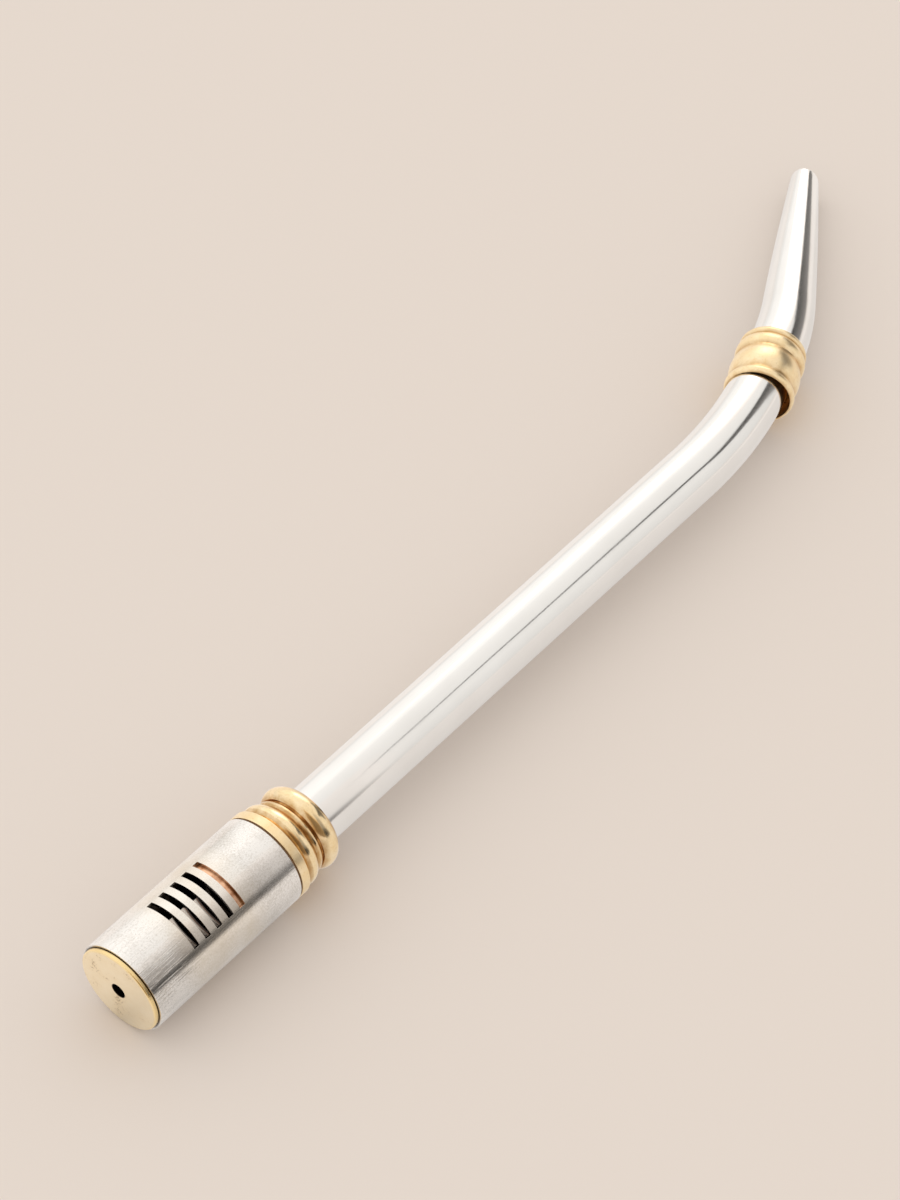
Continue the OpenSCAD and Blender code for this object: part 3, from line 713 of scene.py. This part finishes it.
collarCorners += [
    (collar["length"], collar["socketRadius"], 0.12), (collar["socketStart"], collar["socketRadius"], 0),
    (collar["socketStart"], collar["boreRadius"], 0), (collar["spigotEnd"], collar["boreRadius"], 0.15),
    (collar["spigotEnd"], collar["spigotRadius"], 0.3), (0, collar["spigotRadius"], 0)]
collarOutline = [(x + collar["start"], r) for x, r in rounded(collarCorners)]
collarRidge = meshFromTree("collarRidge", ridgeTree, {
    **thread, "Radius": collar["spigotRadius"] + thread["sink"], "Material": brass})
collarRidge.transform(Matrix.Translation((collar["threadStart"], 0, 0)) @ standToLie)
# The stained range is the spigot inside the filter, painted nearly black: painted shade, partly dried tea
collarBody = turned("collarBody", collarOutline, hollows=0.03, above=6.0,
                    matt=collar["matt"], stained=collar["stained"])
collarMesh = joinMeshes("turnedCollar", [collarBody, collarRidge])
addPiece("turnedCollar", collarMesh, tablePlace, brass, "stem", "collar")

# Stem tube
stem = {"start": 31.83, "bendStart": 129.675, "bendRadius": 70.0, "bend": 20.0, "end": 2.5,
        "radius": 4.75, "wall": 0.6, "steps": (24, 48, 2)}
stemStations = bentPath(
    stem["start"], stem["bendStart"] - stem["start"], stem["bendRadius"], stem["bend"],
    stem["end"], *stem["steps"])
stemSizes = [(stem["radius"], stem["radius"])] * len(stemStations)
addPiece("stemTube", bentTube("stemTube", stemStations, stemSizes, stem["wall"]), tablePlace, steelTube,
         "stem", "stem_tube")

# Joint ring, along the seam's axis
ring = {"start": -5.5, "end": 5.4, "openRadius": 5.27, "openEnd": -2.5, "boreRadius": 4.78,
        "tilt": (4.0, -2.8), "matt": (-6, 6),  # degrees in and across the bend's plane, and the whole ring
        "beads": [(-5.5, 1.6, 5.48, 5.86), (-3.5, 4.75, 5.43, 5.87),
                  (1.6, 2.5, 5.42, 5.84), (4.3, 1.1, 5.38, 5.6)]}
ringCorners = []
for beadStart, width, edge, top in ring["beads"]:
    ringCorners += bead(beadStart, width, edge, top)
ringCorners += [(ring["end"], ring["boreRadius"], 0.12), (ring["openEnd"], ring["boreRadius"], 0),
                (ring["openEnd"], ring["openRadius"], 0), (ring["start"], ring["openRadius"], 0.1)]
jointMesh = turned("jointRing", rounded(ringCorners), hollows=0.03, above=5.0,
                   lean=ring["tilt"], matt=ring["matt"])
addPiece("jointRing", jointMesh, seamPlace, brass, "stem", "joint_ring")

# Mouthpiece, from the seam to the lip
mouth = {"start": 0.03, "root": 4.5, "bendRadius": 60.0, "bend": 12.5, "straight": 33.1, "rootRadius": 4.75,
         "tipThick": 4.8, "tipWidth": 6.2, "taperPower": 1.5, "wall": 0.6,
         "steps": (4, 20, 36), "lipSteps": 10}
mouthStations = bentPath(
    mouth["start"], mouth["root"] - mouth["start"], mouth["bendRadius"], mouth["bend"],
    mouth["straight"] - mouth["wall"] / 2, *mouth["steps"])
mouthLength = mouthStations[-1][2]
mouthSizes = []
for station in mouthStations:
    past = max(0.0, station[2] - mouth["root"] + mouth["start"])
    share = (past / (mouthLength - mouth["root"] + mouth["wall"] / 2)) ** mouth["taperPower"]
    mouthSizes.append(tuple(mouth["rootRadius"] + (size / 2 - mouth["rootRadius"]) * share
                            for size in (mouth["tipThick"], mouth["tipWidth"])))
mouthMesh = bentTube("mouthTube", mouthStations, mouthSizes, mouth["wall"], lip=mouth["lipSteps"])
addPiece("mouthTube", mouthMesh, seamPlace, steelTube, "stem", "mouthpiece")

# Floor: pale matt card
floorLook = {"colour": "#E3D8CF", "half": 4.0, "fleck": 1.5, "fleckDepth": 0.02}  # half in m, flecks in mm
floorMaterial, floorTree = newMaterial("paleMattCard")
floorPlace = addNode(floorTree, "ShaderNodeTexCoord")
floorFleck = addNode(floorTree, "ShaderNodeTexNoise", {
    "Vector": floorPlace.outputs["Object"], "Scale": 1 / (floorLook["fleck"] * mm), "Detail": 2.0})
floorRelief = addNode(floorTree, "ShaderNodeBump", {
    "Height": floorFleck.outputs[0], "Strength": 0.05, "Distance": floorLook["fleckDepth"] * mm})
floorShader = addNode(floorTree, "ShaderNodeBsdfPrincipled", {
    "Base Color": linear(floorLook["colour"]), "Roughness": 0.9, "Specular IOR Level": 0.0,
    "Normal": floorRelief.outputs[0]})
addNode(floorTree, "ShaderNodeOutputMaterial", {"Surface": floorShader.outputs[0]})
floorMesh = bpy.data.meshes.new("floor")
half = floorLook["half"]
floorCorners = [(-half, -half, 0), (half, -half, 0), (half, half, 0), (-half, half, 0)]
floorMesh.from_pydata(floorCorners, [], [(0, 1, 2, 3)])
floorMesh.materials.append(floorMaterial)
floor = bpy.data.objects.new("floor", floorMesh)
scene.collection.objects.link(floor)

# Light: a white tent, brighter behind the object and dimmer at the horizon, with a soft box behind
studio = {"tent": "#FFFDFA", "front": 0.96, "behind": 1.1, "horizon": 0.88,
          "boxGlow": 0.1, "boxSize": 1.2, "boxPlace": (0.65, 0.86, 0.73)}  # glow is radiance, white is 1
world = bpy.data.worlds.new("whiteTent")
scene.world = world
world.use_nodes = True
sky = world.node_tree
sky.nodes.clear()
skyWay = addNode(sky, "ShaderNodeTexCoord")
skyPart = addNode(sky, "ShaderNodeSeparateXYZ", {0: skyWay.outputs["Generated"]})
skyLevel = addNode(sky, "ShaderNodeMapRange", {
    "Value": skyPart.outputs["Y"], "From Min": -0.3, "From Max": 0.45,
    "To Min": studio["front"], "To Max": studio["behind"]})
skyLow = addNode(sky, "ShaderNodeMapRange", {
    "Value": skyPart.outputs["Z"], "From Min": 0.0, "From Max": 0.5,
    "To Min": studio["horizon"], "To Max": 1.0})
skyGlow = addNode(sky, "ShaderNodeMath", {0: skyLevel.outputs[0], 1: skyLow.outputs[0]}, operation="MULTIPLY")
tent = addNode(sky, "ShaderNodeBackground", {"Color": linear(studio["tent"]), "Strength": skyGlow.outputs[0]})
addNode(sky, "ShaderNodeOutputWorld", {"Surface": tent.outputs[0]})
boxLight = bpy.data.lights.new("softBox", "AREA")
boxLight.energy = studio["boxGlow"] * math.pi * studio["boxSize"] ** 2
boxLight.size = studio["boxSize"]
box = bpy.data.objects.new("softBox", boxLight)
box.location = studio["boxPlace"]
box.rotation_euler = (-Vector(studio["boxPlace"])).to_track_quat("-Z", "Y").to_euler()
box.visible_camera = False
scene.collection.objects.link(box)

# Cards that only reflections see, as hung round polished ware in a studio: three dark flags and a bright
# panel. A card is a row of columns of points, each with its azimuth and elevation in degrees from the
# centre, and its glow. Centres and reaches are in metres.
cards = {
    "tubeFlag": {"centre": (0.04, -0.008, 0.008), "reach": 0.6, "colour": "#FFF9F4", "columns": [
        [(-60, 52, 0.06), (-61.5, 50, 0.06)], [(-51.5, 48.5, 0.06), (-53.5, 46, 0.06)],
        [(-44.6, 44.5, 0.05), (-47.8, 40.8, 0.06)], [(-38, 41, 0.05), (-42, 34, 0.1)],
        [(-26.4, 38, 0.05), (-34, 29.4, 0.18)], [(-19, 34.7, 0.05), (-28.8, 20, 0.3)],
        [(-14, 32.5, 0.05), (-27.5, 6, 0.3)], [(-6, 26.2, 0.05), (-20, 1, 0.3)],
        [(10, 25.5, 0.05), (10, 1, 0.3)]]},
    "roomFlag": {"centre": (-0.066, -0.012, 0.008), "reach": 0.4, "colour": "#FFDDAE", "columns": [
        [(-172, 66, 1.0), (-168, 58, 0.8), (-164, 40, 0.8), (-162, 20, 0.8), (-160, 1, 0.8)],
        [(-156, 66, 1.0), (-152, 56, 0.3), (-150, 40, 0.27), (-148, 20, 0.27), (-146, 1, 0.3)],
        [(-128, 62, 1.0), (-128, 52, 0.3), (-128, 40, 0.26), (-128, 20, 0.26), (-128, 1, 0.3)],
        [(-100, 50, 1.0), (-106, 38, 0.3), (-108, 26, 0.26), (-108, 14, 0.26), (-106, 1, 0.3)],
        [(-91, 40, 1.0), (-93, 30, 0.8), (-94, 20, 0.7), (-94, 10, 0.7), (-92, 1, 0.7)]]},
    "sleeveFlag": {"centre": (-0.085, -0.012, 0.008), "reach": 0.13, "colour": "#FFF9F4", "columns": [
        [(-75, 64, 1.0), (-84, 48, 0.5), (-88, 32, 0.42), (-90, 24, 0.32), (-90, 17, 0.05), (-90, 1, 0.03)],
        [(-46, 67, 1.0), (-66, 48, 0.5), (-72, 32, 0.42), (-74, 24, 0.34), (-74, 17, 0.06), (-74, 1, 0.03)],
        [(-27, 56, 1.0), (-48, 42, 0.7), (-56, 30, 0.6), (-59, 21, 0.52), (-60, 14, 0.15), (-60, 1, 0.08)],
        [(-22, 52, 1.0), (-42, 39, 0.95), (-51, 26, 0.9), (-54, 16, 0.8), (-55, 9, 0.25), (-55, 1, 0.15)],
        [(-18, 48, 1.0), (-36, 36, 1.0), (-44, 22, 1.0), (-47, 13, 1.0), (-48, 7, 0.95), (-48, 1, 0.9)]]},
    "brightPanel": {"centre": (0, 0, 0.008), "reach": 1.5, "colour": "#FFF9F4", "columns": [
        [(52, 50, 1.1), (52, 42, 1.1), (52, 30, 1.1), (52, 20, 1.06), (52, 12, 1.02)],
        [(45, 50, 1.1), (45, 42, 1.8), (45, 30, 2.2), (45, 20, 1.7), (45, 12, 1.02)],
        [(30, 50, 1.1), (30, 42, 2.0), (30, 30, 2.5), (30, 20, 2.0), (30, 12, 1.02)],
        [(12, 50, 1.05), (12, 42, 1.4), (12, 30, 1.7), (12, 20, 1.4), (12, 12, 1.0)],
        [(2, 50, 1.03), (2, 42, 1.03), (2, 30, 1.03), (2, 20, 1.0), (2, 12, 0.97)]]},
}
# The white sheet that the object lies on in the reflections, dim where the object shades it. Its path runs
# under the object, with the share of shade at each point, and the shade is given across the path, in metres.
sheet = {"path": [(-0.3, -0.012, 0), (-0.112, -0.012, 0.1), (-0.1, -0.012, 0.6), (-0.094, -0.012, 1),
                  (-0.074, -0.012, 1), (-0.064, -0.012, 0.5), (0.03, -0.012, 0.5), (0.056, -0.0065, 0.5),
                  (0.085, 0.008, 0.5), (0.1, 0.018, 0.4), (0.11, 0.024, 0), (0.3, 0.145, 0)],
         "colour": "#FFF9F4", "height": 0.0004,  # m, just over the floor
         "shade": [(-0.6, 0.16), (-0.06, 0.22), (-0.02, 0.28), (-0.008, 0.38), (-0.003, 0.6), (0, 0.85),
                   (0.003, 0.5), (0.008, 0.22), (0.02, 0), (0.06, -0.1), (0.6, -0.14)]}


def addCard(name, colour, columns):
    material, tree = newMaterial(name)
    glow = addNode(tree, "ShaderNodeAttribute", attribute_name="glow")
    light = addNode(tree, "ShaderNodeEmission", {"Color": linear(colour), "Strength": glow.outputs["Fac"]})
    addNode(tree, "ShaderNodeOutputMaterial", {"Surface": light.outputs[0]})
    high = len(columns[0])
    faces = [(i * high + k, i * high + k + 1, (i + 1) * high + k + 1, (i + 1) * high + k)
             for i in range(len(columns) - 1) for k in range(high - 1)]
    mesh = bpy.data.meshes.new(name)
    mesh.from_pydata([place for column in columns for place, level in column], [], faces)
    mesh.attributes.new("glow", "FLOAT", "POINT").data.foreach_set(
        "value", [level for column in columns for place, level in column])
    mesh.materials.append(material)
    card = bpy.data.objects.new(name, mesh)
    scene.collection.objects.link(card)
    card.visible_camera = card.visible_diffuse = card.visible_shadow = card.visible_transmission = False


def pointAt(card, around, up):
    around, up = math.radians(around), math.radians(up)
    way = Vector((math.cos(around) * math.cos(up), math.sin(around) * math.cos(up), math.sin(up)))
    return Vector(card["centre"]) + way * card["reach"]


for name, card in cards.items():
    addCard(name, card["colour"], [
        [(pointAt(card, *point[:2]), point[2]) for point in column] for column in card["columns"]])
addCard("whiteSheet", sheet["colour"], [
    [(Vector((x, y + side, sheet["height"])), 1 - shade * share) for side, shade in sheet["shade"]]
    for x, y, share in sheet["path"]])
print("stage and light made")

# Camera at the photograph's viewing angle
shot = {"aim": (-15.05, -0.27, 7.55), "distance": 582.6, "azimuth": 49.51, "elevation": 48.97,
        "lens": 113.8, "sensor": 36.0}  # mm, degrees
azimuth, elevation = math.radians(shot["azimuth"]), math.radians(shot["elevation"])
level = math.cos(elevation)
forward = Vector((math.sin(azimuth) * level, math.cos(azimuth) * level, -math.sin(elevation)))
cameraData = bpy.data.cameras.new("photoView")
cameraData.lens = shot["lens"]
cameraData.sensor_width = shot["sensor"]
cameraData.clip_start, cameraData.clip_end = 0.01, 30.0
camera = bpy.data.objects.new("photoView", cameraData)
camera.location = (Vector(shot["aim"]) - forward * shot["distance"]) * mm
camera.rotation_euler = forward.to_track_quat("-Z", "Y").to_euler()
scene.collection.objects.link(camera)
scene.camera = camera
